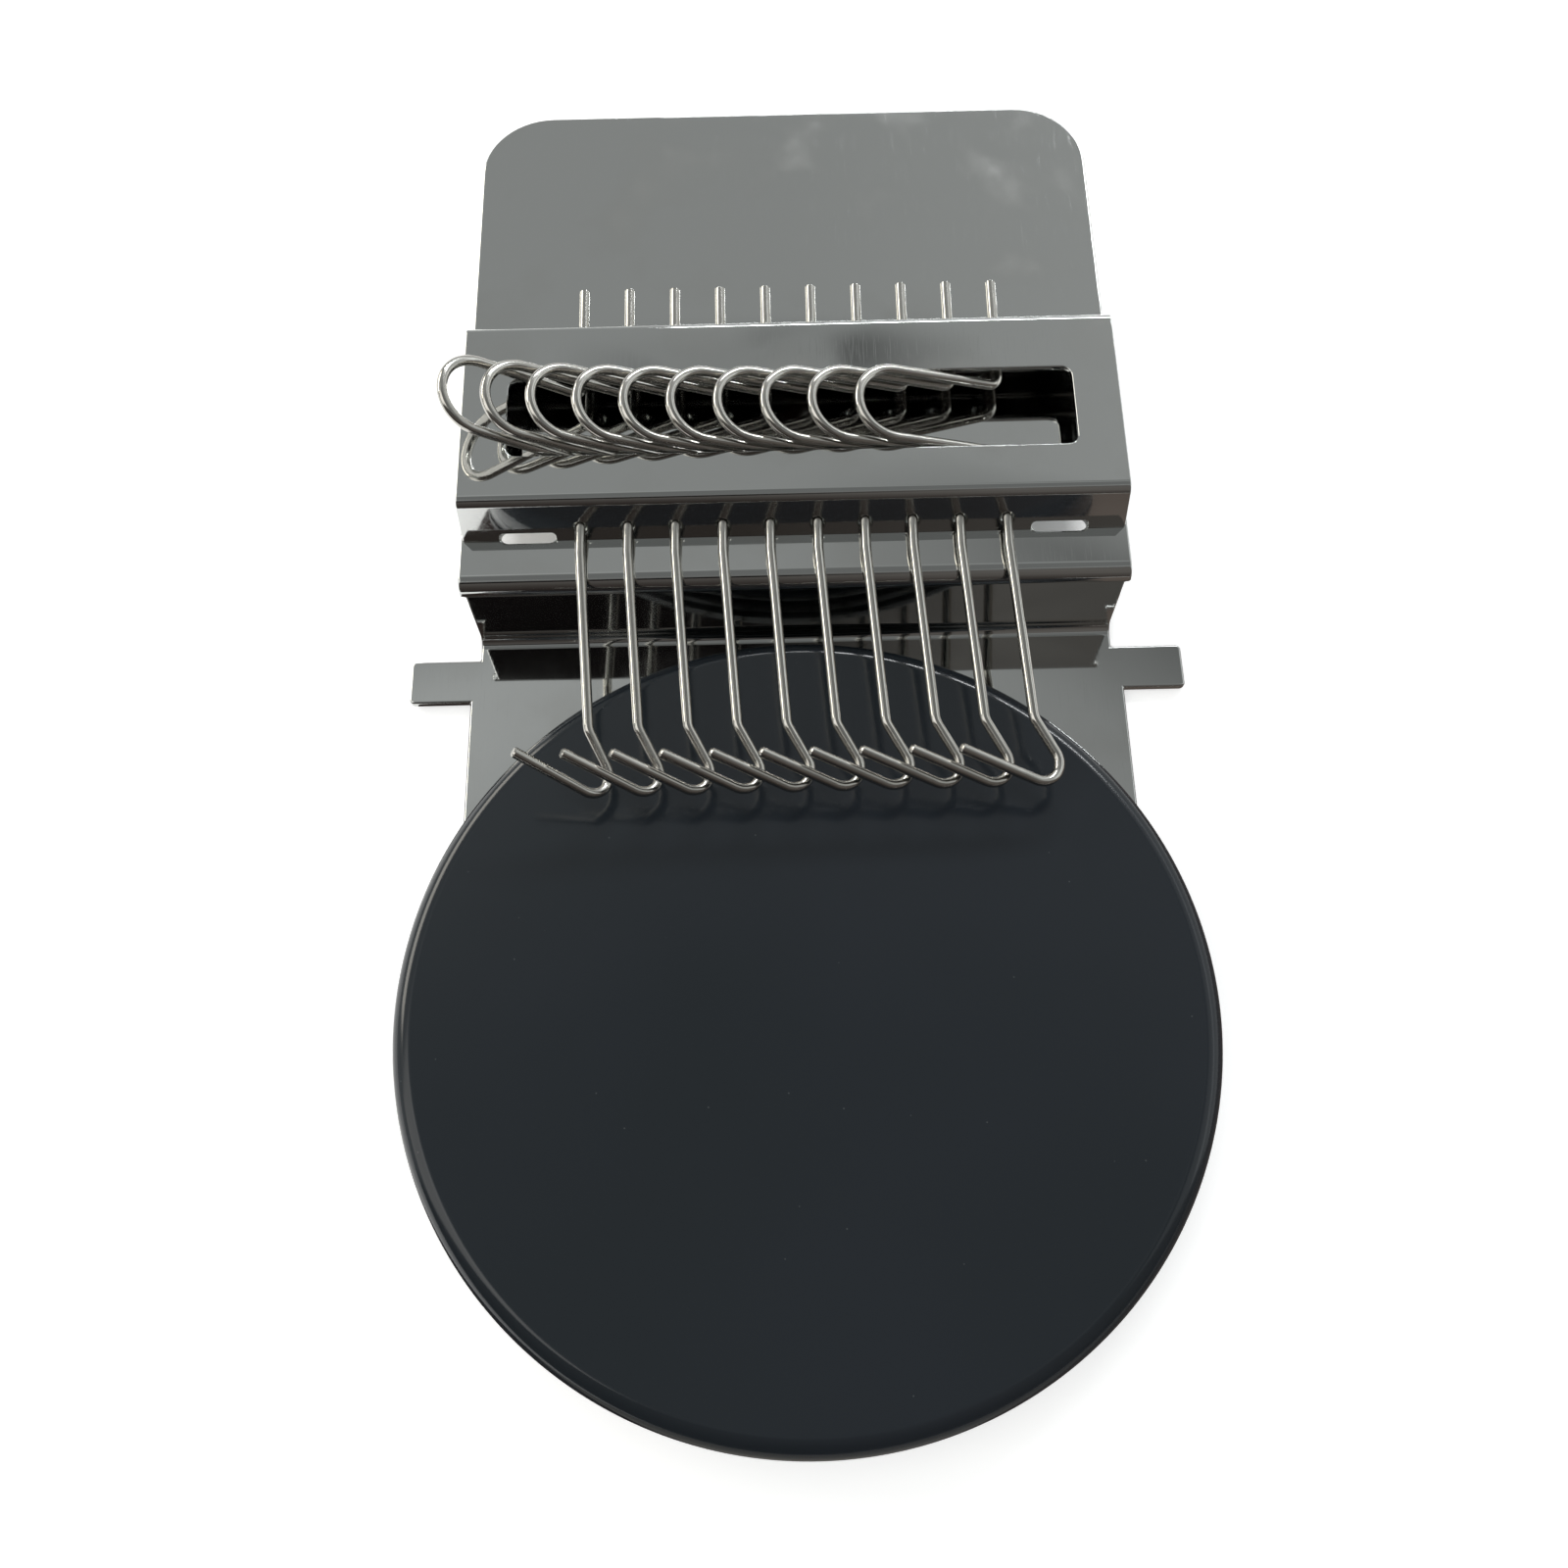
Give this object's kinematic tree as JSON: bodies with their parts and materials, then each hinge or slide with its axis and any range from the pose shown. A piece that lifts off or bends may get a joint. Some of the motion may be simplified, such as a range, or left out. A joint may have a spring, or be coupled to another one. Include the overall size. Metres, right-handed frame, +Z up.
{
  "type": "darning loom",
  "caption": "Small hand darning loom: a polished sheet-metal head with a row of flipping bent-wire hooks, and a round dark disc that lies on its tongue.",
  "frame": {"origin": "on the table, in the middle of the footprint: half-way between the disc's near rim and the finger tab's end, and half-way between the two ears", "axes": "+X to the right, +Y from the disc towards the finger tab, +Z up"},
  "size_m": [0.0734, 0.1286, 0.0212],
  "materials": {
    "polished_steel": "mirror polished",
    "hook_wire": "bright drawn wire",
    "disc_plastic": "satin moulded"
  },
  "bodies": {
    "frame": {"body_plate": "polished_steel", "cover_plate": "polished_steel"},
    "disc": {"darning_disc": "disc_plastic"},
    "hook_01": {"hook_01": "hook_wire"},
    "hook_02": {"hook_02": "hook_wire"},
    "hook_03": {"hook_03": "hook_wire"},
    "hook_04": {"hook_04": "hook_wire"},
    "hook_05": {"hook_05": "hook_wire"},
    "hook_06": {"hook_06": "hook_wire"},
    "hook_07": {"hook_07": "hook_wire"},
    "hook_08": {"hook_08": "hook_wire"},
    "hook_09": {"hook_09": "hook_wire"},
    "hook_10": {"hook_10": "hook_wire"}
  },
  "joints": [
    {"name": "hook_01_flip", "type": "hinge", "parent": "frame", "child": "hook_01", "pos_m": [-0.01939, 0.01434, 0.01207], "axis": [0, 0.9976, 0.0698], "range_deg": [0, 127.2]},
    {"name": "hook_02_flip", "type": "hinge", "parent": "frame", "child": "hook_02", "pos_m": [-0.01508, 0.01434, 0.01207], "axis": [0, 0.9976, 0.0698], "range_deg": [0, 132.29]},
    {"name": "hook_03_flip", "type": "hinge", "parent": "frame", "child": "hook_03", "pos_m": [-0.01077, 0.01434, 0.01207], "axis": [0, 0.9976, 0.0698], "range_deg": [0, 135.62]},
    {"name": "hook_04_flip", "type": "hinge", "parent": "frame", "child": "hook_04", "pos_m": [-0.00647, 0.01434, 0.01207], "axis": [0, 0.9976, 0.0698], "range_deg": [0, 137.63]},
    {"name": "hook_05_flip", "type": "hinge", "parent": "frame", "child": "hook_05", "pos_m": [-0.00215, 0.01434, 0.01207], "axis": [0, 0.9976, 0.0698], "range_deg": [0, 138.57]},
    {"name": "hook_06_flip", "type": "hinge", "parent": "frame", "child": "hook_06", "pos_m": [0.00215, 0.01434, 0.01207], "axis": [0, 0.9976, 0.0698], "range_deg": [0, 138.57]},
    {"name": "hook_07_flip", "type": "hinge", "parent": "frame", "child": "hook_07", "pos_m": [0.00647, 0.01434, 0.01207], "axis": [0, 0.9976, 0.0698], "range_deg": [0, 137.63]},
    {"name": "hook_08_flip", "type": "hinge", "parent": "frame", "child": "hook_08", "pos_m": [0.01077, 0.01434, 0.01207], "axis": [0, 0.9976, 0.0698], "range_deg": [0, 135.62]},
    {"name": "hook_09_flip", "type": "hinge", "parent": "frame", "child": "hook_09", "pos_m": [0.01508, 0.01434, 0.01207], "axis": [0, 0.9976, 0.0698], "range_deg": [0, 132.29]},
    {"name": "hook_10_flip", "type": "hinge", "parent": "frame", "child": "hook_10", "pos_m": [0.01939, 0.01434, 0.01207], "axis": [0, 0.9976, 0.0698], "range_deg": [0, 127.2]},
    {"name": "disc_slide", "type": "slide", "parent": "frame", "child": "disc", "axis": [0, -1, 0], "range_m": [0, 0.045]}
  ],
  "couplings": [
    {"joint": "hook_02_flip", "follows": "hook_01_flip", "ratio": 1.04},
    {"joint": "hook_03_flip", "follows": "hook_01_flip", "ratio": 1.0662},
    {"joint": "hook_04_flip", "follows": "hook_01_flip", "ratio": 1.082},
    {"joint": "hook_05_flip", "follows": "hook_01_flip", "ratio": 1.0894},
    {"joint": "hook_06_flip", "follows": "hook_01_flip", "ratio": 1.0894},
    {"joint": "hook_07_flip", "follows": "hook_01_flip", "ratio": 1.082},
    {"joint": "hook_08_flip", "follows": "hook_01_flip", "ratio": 1.0662},
    {"joint": "hook_09_flip", "follows": "hook_01_flip", "ratio": 1.04},
    {"joint": "hook_10_flip", "follows": "hook_01_flip", "ratio": 1}
  ]
}
